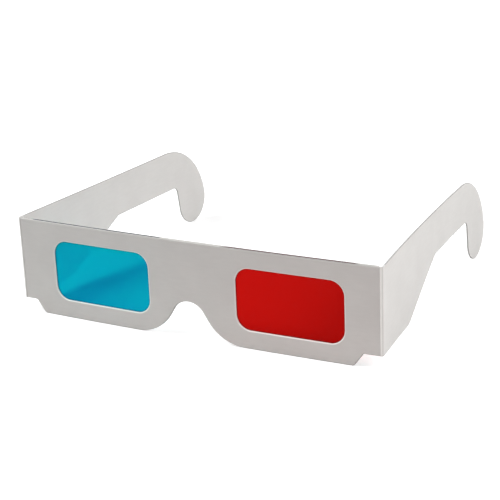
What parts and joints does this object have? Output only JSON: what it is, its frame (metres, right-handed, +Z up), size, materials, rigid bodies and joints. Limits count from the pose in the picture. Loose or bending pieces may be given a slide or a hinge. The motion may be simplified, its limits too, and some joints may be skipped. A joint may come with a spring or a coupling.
{
  "type": "paper stereoscopic glasses",
  "caption": "Folding card glasses with rectangular windows in cyan and red film, a nose notch and hooked arms that fold on pressed creases.",
  "frame": {"origin": "on the table under the middle of the bounding box, midway between the front and the ends of the open arms", "axes": "+X towards the wearer's left, -Y out of the front, +Z up"},
  "size_m": [0.1402, 0.1208, 0.035],
  "materials": {
    "card": "matt, uncoated white board",
    "cyan_film": "thin smooth cyan filter film",
    "red_film": "thin smooth red filter film",
    "glue": "dried paper glue"
  },
  "bodies": {
    "front": {"front_card": "card", "back_card": "card", "cyan_film": "cyan_film", "red_film": "red_film", "bridge_glue": "glue", "right_end_glue": "glue", "left_end_glue": "glue", "right_crease": "card", "left_crease": "card"},
    "right_arm": {"right_arm": "card"},
    "left_arm": {"left_arm": "card"}
  },
  "joints": [
    {"name": "right_arm_fold", "type": "hinge", "parent": "front", "child": "right_arm", "pos_m": [-0.0693, -0.05839, 0.0175], "axis": [0, 0, -1], "range_deg": [-94.1, 85]},
    {"name": "left_arm_fold", "type": "hinge", "parent": "front", "child": "left_arm", "pos_m": [0.0693, -0.05839, 0.0175], "axis": [0, 0, 1], "range_deg": [-96.65, 70]}
  ]
}
